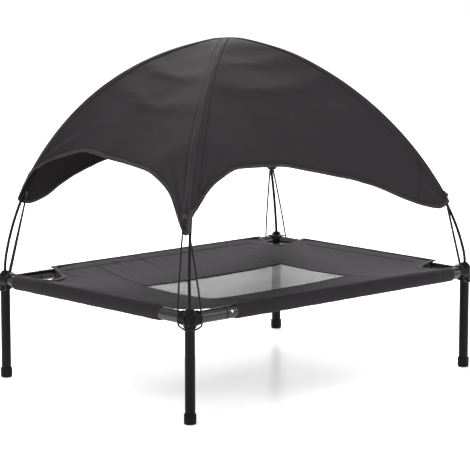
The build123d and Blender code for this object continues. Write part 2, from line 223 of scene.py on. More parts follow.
def make_tube(name, path, outline, normal=None, loop=False):
    """Closed tube: the outline carried along the path, with fans at its ends or, on a loop, joined up."""
    points = tube_grid(path, outline, normal)
    rows, columns = points.shape[:2]
    quads = strip(rows, columns, loop=True)
    far = run_of(np.asarray(path, float))
    girth = np.linspace(0, 1, columns, endpoint=False)
    uv = np.stack(np.broadcast_arrays(girth[None], far[:, None]), -1)
    flat, fans = points.reshape(-1, 3), None
    column = np.arange(columns)
    last = (rows - 1) * columns
    if loop:
        quads = np.concatenate([quads, np.stack(
            [last + column, last + (column + 1) % columns, (column + 1) % columns, column], -1)])
    else:
        centre = len(flat)
        flat = np.concatenate([flat, [points[0].mean(0), points[-1].mean(0)]])
        uv = np.concatenate([uv.reshape(-1, 2), [[0.5, 0], [0.5, far[-1]]]])
        fans = np.concatenate([
            np.stack([(column + 1) % columns, column, np.full(columns, centre)], -1),
            np.stack([last + column, last + (column + 1) % columns, np.full(columns, centre + 1)], -1)])
    return make_piece(name, flat, quads, uv.reshape(-1, 2), fans)


def round_outline(width, height, count=16, power=1.0):
    """An ellipse, or with a power under 1 a squarer rounded outline, turning from across towards up."""
    turn = np.linspace(0, 2 * pi, count, endpoint=False)
    c, s = np.cos(turn), np.sin(turn)
    across, up = np.sign(c) * abs(c) ** power, np.sign(s) * abs(s) ** power
    return np.stack([width / 2 * across, height / 2 * up], -1)


def thicken(piece, thick):
    """Gives a cloth its thickness, inwards from the face that was modelled."""
    shell = piece.modifiers.new("cloth", "SOLIDIFY")
    shell.thickness, shell.offset = thick, -1


def make_stitches(name, rows, pitch=0.0036, length=0.0027, thread=0.0007):
    """Sewing thread on rows of (path, normal): every stitch is a small bowed bead along its row."""
    bead = np.linspace(0, 1, 5)
    thick = np.sin(pi * np.clip(bead, 0.06, 0.94)) ** 0.5
    turn = np.linspace(0, 2 * pi, 5, endpoint=False)
    points, quads, count = [], [], 0
    for path, normal in rows:
        spots, far = along(path, pitch)
        run = run_of(path)
        up = unit(np.stack([np.interp(far, run, normal[:, k]) for k in range(3)], 1))
        tangent = unit(np.gradient(spots, axis=0))
        side = np.cross(tangent, up)
        middle = spots[:, None] + tangent[:, None] * ((bead - 0.5) * length)[:, None]
        middle = middle + up[:, None] * (thread * 0.28 * np.sin(pi * bead))[:, None]
        ring = side[:, None, None] * np.cos(turn)[:, None] + up[:, None, None] * np.sin(turn)[:, None]
        made = middle[:, :, None] + ring * (thread / 2 * thick)[:, None, None]
        one = strip(5, 5, loop=True)
        starts = count + np.arange(len(spots)) * 25
        quads.append((one[None] + starts[:, None, None]).reshape(-1, 4))
        points.append(made.reshape(-1, 3))
        count += len(spots) * 25
    return make_piece(name, np.concatenate(points), np.concatenate(quads))


def merged(points, tolerance=2e-5):
    """The first of each set of points that lie together, and for every point the number of its set."""
    cells = np.floor((points + 0.000314159) / tolerance).astype(np.int64)
    _, first, number = np.unique(cells, axis=0, return_index=True, return_inverse=True)
    return points[first], number.reshape(-1)


def drape(points, quads, held, slack, frames=24, weight=0.35, stiffness=30.0, bending=1.5):
    """How far each point of a piece of cloth moves when it hangs.

    Slack is the share by which it was cut too large.
    """
    joined, number = merged(points)
    piece = make_piece("draping", joined, number[quads])
    group = piece.vertex_groups.new(name="held")
    group.add(np.unique(number[held]).tolist(), 1.0, "ADD")
    cloth = piece.modifiers.new("cloth", "CLOTH")
    settings = cloth.settings
    settings.quality, settings.mass, settings.air_damping = 6, weight, 2.0
    settings.tension_stiffness = settings.compression_stiffness = stiffness
    settings.shear_stiffness, settings.bending_stiffness = stiffness / 4, bending
    settings.vertex_group_mass, settings.pin_stiffness = "held", 1.0
    settings.shrink_min = -slack
    cloth.collision_settings.use_collision = False
    cloth.point_cache.frame_start, cloth.point_cache.frame_end = 1, frames
    for number_of_frame in range(1, frames + 1):
        scene.frame_set(number_of_frame)
    hung = piece.evaluated_get(bpy.context.evaluated_depsgraph_get()).to_mesh()
    moved = np.zeros(len(joined) * 3, np.float32)
    hung.vertices.foreach_get("co", moved)
    bpy.data.objects.remove(piece)
    scene.frame_set(1)
    return (moved.reshape(-1, 3) - joined)[number]


def sampled(field, x, y, xs, ys):
    """A field known on the lines ys (rows) and xs (columns), smoothly read at x and y."""
    def cell(v, lines):
        i = np.clip(np.searchsorted(lines, v) - 1, 0, len(lines) - 2)
        return i, np.clip((v - lines[i]) / (lines[i + 1] - lines[i]), 0, 1)

    def weights(u):
        return [((-u + 2) * u - 1) * u / 2, ((3 * u - 5) * u * u + 2) / 2,
                ((-3 * u + 4) * u + 1) * u / 2, (u - 1) * u * u / 2]

    (i, u), (j, v) = cell(x, xs), cell(y, ys)
    total = 0
    for m, wm in enumerate(weights(v)):
        row = np.clip(j + m - 1, 0, len(ys) - 1)
        for n, wn in enumerate(weights(u)):
            column = np.clip(i + n - 1, 0, len(xs) - 1)
            total = total + field[row, column] * (wm * wn)[..., None]
    return total


# ---- canopy ----
canopy_lift = 0.0078            # outer face of the cloth from a pole's axis
cloth_thick = 0.0012
crown_reach = 0.05              # along the cloth from the crown to the edge of the crown patch
wrap_start = 0.96               # share of a side at which the cloth starts to turn over the pole
crown_shift = 0.020             # crown, from the bed's middle towards the back left corner
socket_stand = 0.020            # top of a pole's straight tail above the rails' axis
hang_share = 0.35               # share of the simulated movement that the canopy keeps
hem_tape = 0.009, 0.0026        # width and thickness of the tape round the hem and the sleeves' mouths
arch_arcs = {                   # degrees of the four arcs from crown to socket, second and last radius
    "front_left": ((18, 38, 27, 7), 0.644, 0.200),
    "back_right": ((18, 38, 27, 7), 0.644, 0.200),
    "back_left": ((20, 25, 35, 10), 0.492, 0.198),
    "front_right": ((27, 34.5, 14.7, 13.8), 0.716, 0.116),
}
canopy_sides = {                # its two corners, and which way it looks
    "front": ("front_left", "front_right", (0, -1)),
    "right": ("front_right", "back_right", (1, 0)),
    "back": ("back_right", "back_left", (0, 1)),
    "left": ("back_left", "front_left", (-1, 0)),
}
hems = {                        # along each side from -1 to 1, and millimetres above the rails
    "front": [(-1, 186), (-.975, 190), (-.95, 197), (-.92, 208), (-.87, 227), (-.79, 246), (-.58, 268),
              (-.28, 267), (0, 251), (.24, 232), (.46, 208), (.68, 168), (.80, 147), (.88, 139), (.95, 146),
              (1, 162)],
    "right": [(-1, 162), (-.9, 166), (-.75, 215), (-.5, 255), (0, 275), (.5, 258), (.8, 212), (.93, 172),
              (1, 168)],
    "back": [(-1, 168), (-.93, 172), (-.75, 222), (-.45, 255), (0, 262), (.42, 241), (.61, 215), (.72, 191),
             (.80, 167), (.88, 158), (.95, 163), (1, 178)],
    "left": [(-1, 178), (-.95, 223), (-.85, 250), (-.71, 265), (-.48, 283), (-.16, 276), (.11, 272),
             (.36, 264), (.54, 249), (.69, 227), (.80, 190), (.87, 164), (.92, 155), (.96, 160), (1, 182)],
}


def arch(corner, far, lift):
    """Point of the line over a corner's half pole, after going far from the crown, and its normal.

    The line runs lift outside the pole's axis. Four arcs in a row lie in one plane, which leans over as the
    crown does; the radii of the first and third are those that bring it from level at the crown to upright
    over its socket.
    """
    pole = "a" if corner in ("front_left", "back_right") else "b"
    rise = pole_high[pole] - pole_r - rail_axis
    aim = np.array(corner_signs[corner]) * toward
    shift = crown_shift * toward * [-1, 1]
    foot = aim * (shift @ aim)
    degrees, second, last = arch_arcs[corner]
    turns = np.radians(degrees)
    heads = np.concatenate([[0], np.cumsum(turns)])
    out, down = np.diff(np.sin(heads)), -np.diff(np.cos(heads))
    left = [half_diagonal - shift @ aim - second * out[1] - last * out[3],
            rise - socket_stand - second * down[1] - last * down[3]]
    first, third = np.linalg.solve([[out[0], out[2]], [down[0], down[2]]], left)
    far = np.asarray(far, float)
    x, z, head = np.zeros_like(far), np.full_like(far, rise), np.zeros_like(far)
    for radius, turn in zip((first, second, third, last), turns):
        step = np.clip(far / radius, 0, turn)
        x = x + radius * (np.sin(head + step) - np.sin(head))
        z = z - radius * (np.cos(head) - np.cos(head + step))
        head, far = head + step, far - radius * turn
    z = z + (pole_high["a"] - pole_high[pole]) * bump(x, 0.06) - np.maximum(far, 0)
    lean = (shift - foot) / (pole_high["a"] - pole_r - rail_axis - socket_stand)
    up = unit(np.array([*lean, 1.0]))
    normal = np.sin(head)[..., None] * np.array([*aim, 0.0]) + np.cos(head)[..., None] * up
    middle = np.array([*foot, rail_axis + socket_stand]) + x[..., None] * np.array([*aim, 0.0])
    return middle + up * (z - socket_stand)[..., None] + normal * lift, normal


def canopy_base(side, t, far, lift=canopy_lift):
    """A side of the canopy without its creases: straight threads from pole to pole, turned over them.

    t runs from -1 at the first corner's pole to 1 at the second's, far is the way down from the crown.
    """
    first, second, looks = canopy_sides[side]
    t, far = np.broadcast_arrays(np.asarray(t, float), np.asarray(far, float))
    c = np.clip(t / wrap_start, -1, 1)
    share = ((1 + c) / 2)[..., None]
    (from_axis, from_ridge), (to_axis, to_ridge) = (arch(corner, far, 0.0) for corner in (first, second))
    axis = from_axis * (1 - share) + to_axis * share
    thread = unit(to_axis - from_axis + [1e-9 * -looks[1], 1e-9 * looks[0], 0])
    mixed = from_ridge * (1 - share) + to_ridge * share
    flat = unit(mixed - thread * (mixed * thread).sum(-1, keepdims=True))
    turned = np.clip((np.abs(t) - wrap_start) / (1 - wrap_start), 0, 1)[..., None]
    ridge = np.where(t[..., None] > 0, to_ridge, from_ridge)
    normal = unit(flat * (1 - turned) + ridge * turned)
    half_width = np.linalg.norm(to_axis - from_axis, axis=-1) / 2
    return axis + normal * lift, normal, c, half_width


def hem_reach(side, t):
    """Way down from the crown to the hem."""
    far = np.linspace(0, 0.75, 500)[:, None]
    share = (1 + np.clip(np.asarray(t, float), -1, 1).ravel()) / 2
    first, second, _ = canopy_sides[side]
    start, end = (arch(corner, far, canopy_lift)[0][..., 2] for corner in (first, second))
    height = start * (1 - share) + end * share
    wanted = smooth_curve(hems[side], np.asarray(t, float).ravel()) * MM + rail_axis
    below = (height > wanted).sum(0)
    high, low = (np.take_along_axis(height, below[None] - k, 0)[0] for k in (1, 0))
    return ((below - 1 + (high - wanted) / (high - low)) * (far[1, 0] - far[0, 0])).reshape(np.shape(t))


def seam_from_ridge(corner, side, far):
    """How far a pocket's seam is from the ridge: wider on the front right pole and by the front left tip."""
    if (corner, side) == ("front_right", "front"):
        return 0.011 + 0.013 * bump(far - 0.40, 0.13)
    if (corner, side) == ("front_left", "left"):
        return 0.010 + 0.012 * ease(far, 0.22, 0.45)
    return np.full_like(far, 0.0115)


def canopy_creases(side, t, far, c, half_width, reach):
    """How far the cloth stands out from the straight threads: hollows, seams, gathers and tip folds."""
    first, second, _ = canopy_sides[side]
    span = 1 - c * c
    seed = list(canopy_sides).index(side)
    out = -0.0050 * span * ease(far, 0.04, 0.30)
    across = c * half_width
    uneven = ripples(across, far, 40 + seed, 6, 0.30, 0.07)
    out = out + 0.0016 * np.sqrt(span) * ease(far, 0.05, 0.25) * uneven
    for corner, sign in ((first, -1), (second, 1)):
        from_ridge = (1 - sign * c) * half_width
        seam = seam_from_ridge(corner, side, far)
        there = ease(far, 0.012, 0.03) * ease(from_ridge, 0.001, 0.006)
        gather = np.sin(2 * pi * far / 0.017 + 2.2 * np.sin(far * 61 + seed) + 4 * seed)
        out = out - 0.0022 * there * bump(from_ridge - seam, 0.0026)
        out = out + 0.0009 * there * bump(from_ridge - seam * 0.55, 0.006)
        out = out + 0.0006 * there * bump(from_ridge - seam - 0.004, 0.009) * gather * ease(far, 0.1, 0.3)
        above = np.maximum(reach - far, 0)
        tip = np.hypot(from_ridge, above * 0.9)
        fan = np.sin(9.0 * np.arctan2(above + 0.004, from_ridge + 0.004) + 3 * seed + sign)
        out = out + 0.0021 * bump(tip - 0.045, 0.035) * fan * ease(from_ridge, 0.002, 0.012)
    if side == "left":
        fold = (far - 0.135) * 0.9 + 0.10 * (1 - c)
        out = out + 0.0022 * bump(fold, 0.016) * ease(c, 0.2, 0.9) * ease(1 - c, 0.0, 0.08)
    return out


def canopy_at(side, t, far, lift=0.0):
    """Outer face of the finished canopy, its normal, and its place on the flat cloth."""
    reach = hem_reach(side, t)
    point, normal, c, half_width = canopy_base(side, t, far)
    t, far, reach = np.broadcast_arrays(t, far, reach)
    point = point + normal * (canopy_creases(side, t, far, c, half_width, reach) + lift)[..., None]
    if side in canopy_hang:
        point = point + sampled(canopy_hang[side], t, np.clip(far / reach, 0, 1), hang_t, hang_far)
    return point, normal, np.stack([c * half_width, far], -1)


canopy_hang = {}
hang_t, hang_far = np.linspace(-1, 1, 29), np.linspace(0, 1, 25)


def hang_canopy():
    """Lets each side hang between its poles, a little slack, and keeps a share of how far it moves."""
    for side in canopy_sides:
        t, share = np.meshgrid(hang_t, hang_far)
        point, _, _, _ = canopy_base(side, t, share * hem_reach(side, t))
        held = (np.abs(t) > 0.999) | (share < 0.12)
        moved = drape(point.reshape(-1, 3), strip(*t.shape), np.flatnonzero(held.ravel()), slack=0.0012)
        keep = ease(1 - np.abs(t), 0.0, 0.06) * ease(share, 0.1, 0.25)
        canopy_hang[side] = moved.reshape(*t.shape, 3) * hang_share * keep[..., None]


def canopy_lines():
    """Lines from pole to pole, close together at the poles."""
    x = np.linspace(-1, 1, 89)
    inner = wrap_start * x * (1.42 - 0.42 * x * x)
    wrap = np.linspace(wrap_start, 1, 5)[1:]
    return np.concatenate([-wrap[::-1], inner, wrap])


def make_canopy():
    """Four sides between the poles, each row a share of the way to the hem, and a square over the crown."""
    lines = canopy_lines()
    shares = np.linspace(0, 1, 77)[:, None]
    points, uvs, quads, count = [], [], [], 0
    for number, side in enumerate(canopy_sides):
        reach = hem_reach(side, lines)[None]
        far = crown_reach + (reach - crown_reach) * shares
        point, _, uv = canopy_at(side, lines[None], far)
        points.append(point.reshape(-1, 3))
        uvs.append(uv.reshape(-1, 2) + [1.1 * number, 0])
        quads.append(strip(len(shares), len(lines), start=count)[:, ::-1])
        count += points[-1].shape[0]
    p, q = np.meshgrid(lines, lines)
    square = np.maximum(np.maximum(abs(p), abs(q)), 1e-9)
    patch = np.zeros((*p.shape, 3))
    for side, t, mine in (("front", p, -q >= abs(p)), ("right", q, p >= abs(q)),
                          ("back", -p, q >= abs(p)), ("left", -q, -p >= abs(q))):
        point, _, _ = canopy_at(side, t / square, crown_reach * square)
        patch[mine] = point[mine]
    points.append(patch.reshape(-1, 3))
    uvs.append(patch[..., :2].reshape(-1, 2) + [5.0, 0])
    quads.append(strip(len(lines), len(lines), start=count))
    piece = make_piece("canopy", *(np.concatenate(part) for part in (points, quads, uvs)), weld=True)
    thicken(piece, cloth_thick)
    return piece


def hem_path(side):
    """Outer edge of the canopy along one side, with the way into the cloth and the cloth's normal."""
    t = np.linspace(-1, 1, 161)
    reach = hem_reach(side, t)
    edge, normal, _ = canopy_at(side, t, reach)
    inside, _, _ = canopy_at(side, t, reach - 0.006)
    return edge, unit(inside - edge), normal


def canopy_edges():
    """The whole hem as one loop: edge, way into the cloth, normal."""
    sides = [hem_path(side) for side in canopy_sides]
    return [np.concatenate([part[k][:-1] for part in sides]) for k in range(3)]


# ---- sling ----
sleeve_r = rail_r + 1.4 * MM        # outer face of a sleeve
mesh_low, mesh_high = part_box("sling_mesh")
mesh_lap = 0.008                    # how far the mesh runs under the sling round its window
sling_drop = 11.9 * MM              # middle of the sling below the top of the sleeves
notch_ends = {                      # millimetres from the corner: sleeve mouths, deepest point; its droop
    "front_left": (116, 82, 92, 74, 8),
    "front_right": (47, 88, 50, 78, 0),
    "back_left": (124, 40, 104, 56, 9),
    "back_right": (53, 88, 61, 68, 3),
}
block_x = {-1: 0.185, 1: 0.115}     # how far the corner blocks reach in from the corner axes
block_y = 0.150
edge_in = 1.1 * MM                  # from a rail's axis to where the cloth leaves the top of its sleeve
button_at = 0.098                   # from a corner to the middle of each snap button
rail_looks = {"front": (0, -1), "back": (0, 1), "left": (-1, 0), "right": (1, 0)}    # out over each rail
up = np.array([0.0, 0.0, 1.0])


def sling_height(x, y):
    """Height of the sling: hollow between the rails, level over the mesh, drooping at the corner cut-outs."""
    u, v = x / (half_x - edge_in), y / (half_y - edge_in)
    height = rail_axis + sleeve_r - sling_drop * (1 - abs(u) ** 4) * (1 - abs(v) ** 2.4)
    for name, (_, _, deep_x, deep_y, droop) in notch_ends.items():
        sx, sy = corner_signs[name]
        away = np.hypot(x - sx * (half_x - deep_x * MM), y - sy * (half_y - deep_y * MM))
        droop_here = droop * MM * bump(away, 0.045)
        height = height - droop_here * ease(1 - abs(u), 0, 0.1) * ease(1 - abs(v), 0, 0.12)
    return height


def sling_creases(x, y):
    """Uneven pull of the cloth: streaks square to each rail that die out inwards, and soft hollows."""
    front, back = y + half_y, half_y - y
    left, right = x + half_x, half_x - x
    out = 0.0
    for depth, streaks, away, width, start in (
            (0.0034, ripples(x + 0.5 * y, y * 0.25, 5, 7, 0.10, 0.024), back, 0.075, 0.02),
            (0.0006, ripples(x, y * 0.3, 8, 6, 0.13, 0.035), front, 0.07, 0.03),
            (0.0022, ripples(x * 0.3, y, 11, 6, 0.09, 0.03), left, 0.10, 0.03),
            (0.0006, ripples(x * 0.3, y, 14, 6, 0.09, 0.03), right, 0.08, 0.03)):
        out = out + depth * streaks * bump(away - 0.03, width) * ease(away, 0, start)
    inside = ease(front, 0, 0.08) * ease(back, 0, 0.08) * ease(left, 0, 0.08) * ease(right, 0, 0.08)
    return out + 0.0013 * inside * ripples(x + 0.6 * y, y - 0.6 * x, 17, 6, 0.22, 0.05)


def sling_at(x, y, lift=0.0):
    """Point of the finished sling's top face, with a shallow groove at each full-width seam."""
    height = sling_height(x, y) + sling_creases(x, y) + lift
    for line in seam_lines:
        height = height - 0.0012 * bump(x - line, 0.0024)
    point = np.stack(np.broadcast_arrays(x, y, height), -1)
    if sling_hang:
        point = point + sampled(sling_hang["field"], x, y, hang_x, hang_y)
    return point


seam_lines = (mesh_low.x, mesh_high.x)          # the two full-width seams, at the ends of the mesh
sling_hang = {}
hang_x = np.linspace(edge_in - half_x, half_x - edge_in, 64)
hang_y = np.linspace(edge_in - half_y, half_y - edge_in, 48)


def in_notch(x, y):
    """Whether a place is in the square that a corner cut-out takes from the sling."""
    inside = np.zeros(np.broadcast(x, y).shape, bool)
    for name, (end_x, end_y, deep_x, deep_y, _) in notch_ends.items():
        sx, sy = corner_signs[name]
        p, q = half_x - sx * x, half_y - sy * y
        inside |= (p < min(end_x, deep_x + 6) * MM) & (q < min(max(end_y, 50), deep_y + 6) * MM)
    return inside


def hang_sling():
    """Lets the sling hang from its four sleeves, and keeps how far it moves."""
    x, y = np.meshgrid(hang_x, hang_y)
    point = sling_at(x, y).reshape(-1, 3)
    quads = strip(*x.shape)
    gone = in_notch(x, y).ravel()
    quads = quads[~gone[quads].any(1)]
    rim = (abs(abs(x) - half_x) < 2 * edge_in) | (abs(abs(y) - half_y) < 2 * edge_in)
    kept = np.unique(quads)
    renumber = np.zeros(len(point), int)
    renumber[kept] = np.arange(len(kept))
    moved = np.zeros_like(point)
    moved[kept] = drape(point[kept], renumber[quads], np.flatnonzero(rim.ravel()[kept]), slack=0.0006)
    field = moved.reshape(*x.shape, 3)
    for _ in range(12):                 # carries the movement a little way past the hems
        spread = sum(np.roll(field, s, a) for s, a in ((1, 0), (-1, 0), (1, 1), (-1, 1))) / 4
        field = np.where((gone.reshape(x.shape) & ~rim)[..., None], spread, field)
    sling_hang["field"] = field


def notch_curve(name, share):
    """Hem of a corner cut-out, from the long rail's sleeve (0) to the short rail's (1), from the corner.

    A squared-off quarter oval through its deepest point, pulled out or in at the ends to meet the sleeves.
    """
    end_x, end_y, deep_x, deep_y, _ = notch_ends[name]
    turn = share * pi / 2
    square = 0.42
    long_x, long_y = deep_x / cos(pi / 4) ** square, deep_y / sin(pi / 4) ** square
    p = long_x * np.maximum(np.cos(turn), 0) ** square
    q = long_y * np.maximum(np.sin(turn), 0) ** square
    p = p + (end_x - long_x) * bump(q / long_y, 0.55) * (1 - share)
    q = q + (end_y - long_y) * bump(p / long_x, 0.55) * share
    return np.maximum(p * MM, edge_in * (share < 0.999)), np.maximum(q * MM, 0)


def ticks(stops, step):
    """Lines about a step apart that take in every stop."""
    runs = [np.linspace(a, b, max(2, int(round((b - a) / step)) + 1))[:-1] for a, b in zip(stops, stops[1:])]
    return np.concatenate(runs + [[stops[-1]]])


def corner_block(name, lines_x, lines_y, rows):
    """Cloth between a corner cut-out and its block's two inner borders, as distances from the corner.

    Straight threads run from the hem to the border, row by row.
    """
    sx, sy = corner_signs[name]
    reach_x, reach_y = block_x[sx], block_y
    up = np.stack([np.full(len(lines_y), reach_x), lines_y], -1)
    back = np.stack([lines_x[::-1], np.full(len(lines_x), reach_y)], -1)
    border = np.concatenate([up, back[1:]])
    share = np.linspace(0, 1, len(border))
    p, q = notch_curve(name, share)
    hem = np.stack([p, q], -1)
    hem[0, 1], hem[-1, 0] = edge_in, edge_in
    out = np.linspace(0, 1, rows)[:, None, None] ** 1.25
    return hem * (1 - out) + border * out


def sling_patches():
    """Plan grids of the sling: five plain blocks and four corner blocks that share lines where they meet."""
    step = 0.0045
    west, east = edge_in - half_x, half_x - edge_in
    south, north = edge_in - half_y, half_y - edge_in
    inner_x = (block_x[-1] - half_x, half_x - block_x[1])
    inner_y = (block_y - half_y, half_y - block_y)
    middle_x = ticks([inner_x[0], mesh_low.x, mesh_high.x, inner_x[1]], step)
    middle_y = ticks([inner_y[0], mesh_low.y, mesh_high.y, inner_y[1]], step)
    ends_x = {-1: ticks([west, inner_x[0]], step), 1: ticks([inner_x[1], east], step)}
    ends_y = {-1: ticks([south, inner_y[0]], step), 1: ticks([inner_y[1], north], step)}
    patches = []
    for xs, ys in ((middle_x, middle_y), (middle_x, ends_y[-1]), (middle_x, ends_y[1]),
                   (ends_x[-1], middle_y), (ends_x[1], middle_y)):
        patches.append(np.stack(np.meshgrid(xs, ys), -1))
    for name, (sx, sy) in corner_signs.items():
        lines_x, lines_y = np.sort(half_x - sx * ends_x[sx]), np.sort(half_y - sy * ends_y[sy])
        grid = corner_block(name, lines_x, lines_y, 22)
        plan = np.stack([sx * (half_x - grid[..., 0]), sy * (half_y - grid[..., 1])], -1)
        patches.append(plan if sx * sy > 0 else plan[:, ::-1])
    return patches


def rail_edge(rail):
    """Where the cloth leaves a rail's sleeve: plan points in order, from one mouth to the other."""
    spots = np.unique(np.round(np.concatenate([p.reshape(-1, 2) for p in sling_patches()]), 7), axis=0)
    out_x, out_y = rail_looks[rail]
    axis = 0 if out_x == 0 else 1
    at = out_x * (half_x - edge_in) + out_y * (half_y - edge_in)
    mine = spots[abs(spots[:, 1 - axis] - at) < 1e-5]
    return mine[np.argsort(mine[:, axis])]


def sleeve_rows(rail):
    """A sleeve round a rail, from the top of the sling over, down outside, under, and back up to its seam.

    Each point of the edge is carried round the rail's axis; the cloth bulges over a covered button, and
    wavers a little.
    """
    edge = rail_edge(rail)
    start = sling_at(edge[:, 0], edge[:, 1])
    outward = np.array([*rail_looks[rail], 0.0])
    run = edge[:, 0] if outward[0] == 0 else edge[:, 1]
    half = half_y if outward[0] == 0 else half_x
    axis_at = start * (1 - abs(outward)) * [1, 1, 0] + outward * half + [0, 0, rail_axis]
    first = np.arctan2(start[:, 2] - axis_at[:, 2], ((start - axis_at) * outward).sum(-1))
    turn = np.linspace(0, 1, 37)[None]
    angle = first[:, None] + (radians(-208) - first[:, None]) * turn
    radius = sleeve_r + 0.00045 * ripples(run[:, None], angle * 0.02, 23, 7, 0.09, 0.02) * ease(turn, 0, .15)
    half_run = half_x if outward[0] == 0 else half_y
    for side in (-1, 1):
        from_button = run[:, None] - side * (half_run - button_at)
        radius = radius + 0.0021 * np.exp(-(from_button / 0.0065) ** 2 - ((angle - radians(20)) / 0.42) ** 2)
    spoke = outward * np.cos(angle)[..., None] + up * np.sin(angle)[..., None]
    made = axis_at[:, None] + spoke * radius[..., None]
    made[:, 0] = start
    under = sling_at(*(edge - (outward * 0.021)[:2]).T, lift=-1.7 * MM)
    tail = np.linspace(0, 1, 6)[1:, None, None]
    last = made[:, -1]
    made = np.concatenate([made, np.swapaxes(last * (1 - tail) + under * tail, 0, 1)], 1)
    return made, run


def make_sling():
    """The cloth bed: its sheet with the corner cut-outs and the mesh's window, and its four sleeves."""
    points, uvs, quads, count = [], [], [], 0
    for plan in sling_patches():
        point = sling_at(plan[..., 0], plan[..., 1])
        faces = strip(*plan.shape[:2])
        centre = plan.reshape(-1, 2)[faces].mean(1)
        window = ((centre[:, 0] > mesh_low.x) & (centre[:, 0] < mesh_high.x)
                  & (centre[:, 1] > mesh_low.y) & (centre[:, 1] < mesh_high.y))
        faces = faces[~window]
        flat = point.reshape(-1, 3)
        a, b, c = (flat[faces[:, k]] for k in (0, 1, 2))
        if np.cross(b - a, c - b)[:, 2].sum() < 0:
            faces = faces[:, ::-1]
        points.append(flat)
        uvs.append(plan.reshape(-1, 2))
        quads.append(faces + count)
        count += len(flat)
    for rail in rail_looks:
        made, run = sleeve_rows(rail)
        rows = strip(*made.shape[:2])
        wound = run_of(made[len(made) // 2])
        points.append(made.reshape(-1, 3))
        uvs.append(np.stack(np.broadcast_arrays(run[:, None], 1 + wound[None]), -1).reshape(-1, 2))
        quads.append((rows if rail in ("back", "left") else rows[:, ::-1]) + count)
        count += made.shape[0] * made.shape[1]
    piece = make_piece("sling", *(np.concatenate(part) for part in (points, quads, uvs)), weld=True)
    thicken(piece, 1.0 * MM)
    return piece


def make_mesh_panel():
    """The woven window, a little under the sling and lapping past its opening on every side."""
    xs = np.linspace(mesh_low.x - mesh_lap, mesh_high.x + mesh_lap, 110)
    ys = np.linspace(mesh_low.y - mesh_lap, mesh_high.y + mesh_lap, 60)
    x, y = np.meshgrid(xs, ys)
    sway = 0.0006 * ripples(x + 0.8 * y, 0.35 * (y - 0.8 * x), 29, 7, 0.09, 0.03)
    point = sling_at(x, y, lift=sway - 1.3 * MM)
    return make_piece("mesh_panel", point, strip(*x.shape), np.stack([x, y], -1))


# ---- sewn details ----
def hem_binding(name, edge, inward, normal, width, thick, loop=False):
    """Tape folded over a cut edge: a rounded flat outline carried along it, with a slight wave."""
    run = run_of(edge)
    wave = 0.00022 * np.sin(2 * pi * run / 0.0061) + 0.0003 * ripples(run, 0 * run, 31, 6, 0.08, 0.02)
    middle = edge + inward * (width / 2 - 0.0012) + normal * (wave - thick * 0.25)[:, None]
    return make_tube(name, middle, round_outline(width, thick, 14, 0.55), normal, loop=loop)


def canopy_line(corner, side, low, high, lift):
    """The line of a pole pocket's seam, from low to high down from the crown, and its normal."""
    sign = 1 if canopy_sides[side][1] == corner else -1
    far = np.linspace(low, high, 240)
    half_width = canopy_base(side, 0.0, far)[3]
    t = sign * wrap_start * (1 - seam_from_ridge(corner, side, far) / half_width)
    point, normal, _ = canopy_at(side, t, far, lift)
    return point, normal


def canopy_rows():
    """Every row of thread on the canopy: down both sides of each pole's pocket, and two round the hem."""
    rows = []
    for side, (first, second, _) in canopy_sides.items():
        for corner in (first, second):
            high = float(hem_reach(side, np.array([-0.9 if corner == first else 0.9]))[0]) - 0.006
            rows.append(canopy_line(corner, side, 0.045, high, 0.0001))
        t = np.linspace(-wrap_start, wrap_start, 200)
        for inward, lift in ((0.0022, 0.0013), (0.0105, 0.0002)):
            point, normal, _ = canopy_at(side, t, hem_reach(side, t) - inward, lift)
            rows.append((point, normal))
    return rows


def tip_patch(corner, side, tall, wide):
    """A second layer sewn over the canopy's tip beside a pole: a three-sided patch that widens to the hem."""
    sign = 1 if canopy_sides[side][1] == corner else -1
    down, over = np.meshgrid(np.linspace(0, 1, 30), np.linspace(0, 1, 20), indexing="ij")
    reach_at = hem_reach(side, sign * wrap_start * np.ones(1))[0]
    far = reach_at - tall + (tall - 0.004) * down
    half_width = canopy_base(side, 0.0, far)[3]
    t = sign * wrap_start * (1 - (0.013 + (wide * down - 0.004) * over.clip(0, 1)).clip(0.013) / half_width)
    far = np.minimum(far, hem_reach(side, t) - 0.010)
    point, normal, uv = canopy_at(side, t, far, 0.0007)
    quads = strip(*down.shape)
    return point, (quads if sign > 0 else quads[:, ::-1]), uv


def make_tip_patches():
    """The patches of all four tips as one piece."""
    points, quads, uvs, count = [], [], [], 0
    for corner, side, tall, wide in (
            ("front_right", "front", 0.105, 0.075), ("front_right", "right", 0.075, 0.050),
            ("front_left", "front", 0.050, 0.022), ("front_left", "left", 0.050, 0.022),
            ("back_right", "right", 0.070, 0.045), ("back_right", "back", 0.070, 0.045),
            ("back_left", "back", 0.070, 0.045), ("back_left", "left", 0.070, 0.045)):
        point, faces, uv = tip_patch(corner, side, tall, wide)
        points.append(point.reshape(-1, 3))
        quads.append(faces + count)
        uvs.append(uv.reshape(-1, 2))
        count += len(points[-1])
    piece = make_piece("tip_patches", *(np.concatenate(part) for part in (points, quads, uvs)))
    thicken(piece, cloth_thick)
    return piece


def notch_hems():
    """Each corner cut-out's hem: edge, way into the cloth, normal."""
    hems_found = {}
    for name, (sx, sy) in corner_signs.items():
        p, q = notch_curve(name, np.linspace(0.0, 1.0, 90))
        plan = np.stack([sx * (half_x - p), sy * (half_y - np.maximum(q, edge_in))], -1)
        edge = sling_at(plan[:, 0], plan[:, 1])
        tangent = unit(np.gradient(edge, axis=0))
        inward = unit(np.cross(up, tangent))
        if (inward[45, :2] @ plan[45]) > 0:
            inward = -inward
        hems_found[name] = edge, inward, unit(np.cross(tangent, inward) * (1 if sx * sy < 0 else -1))
    return hems_found


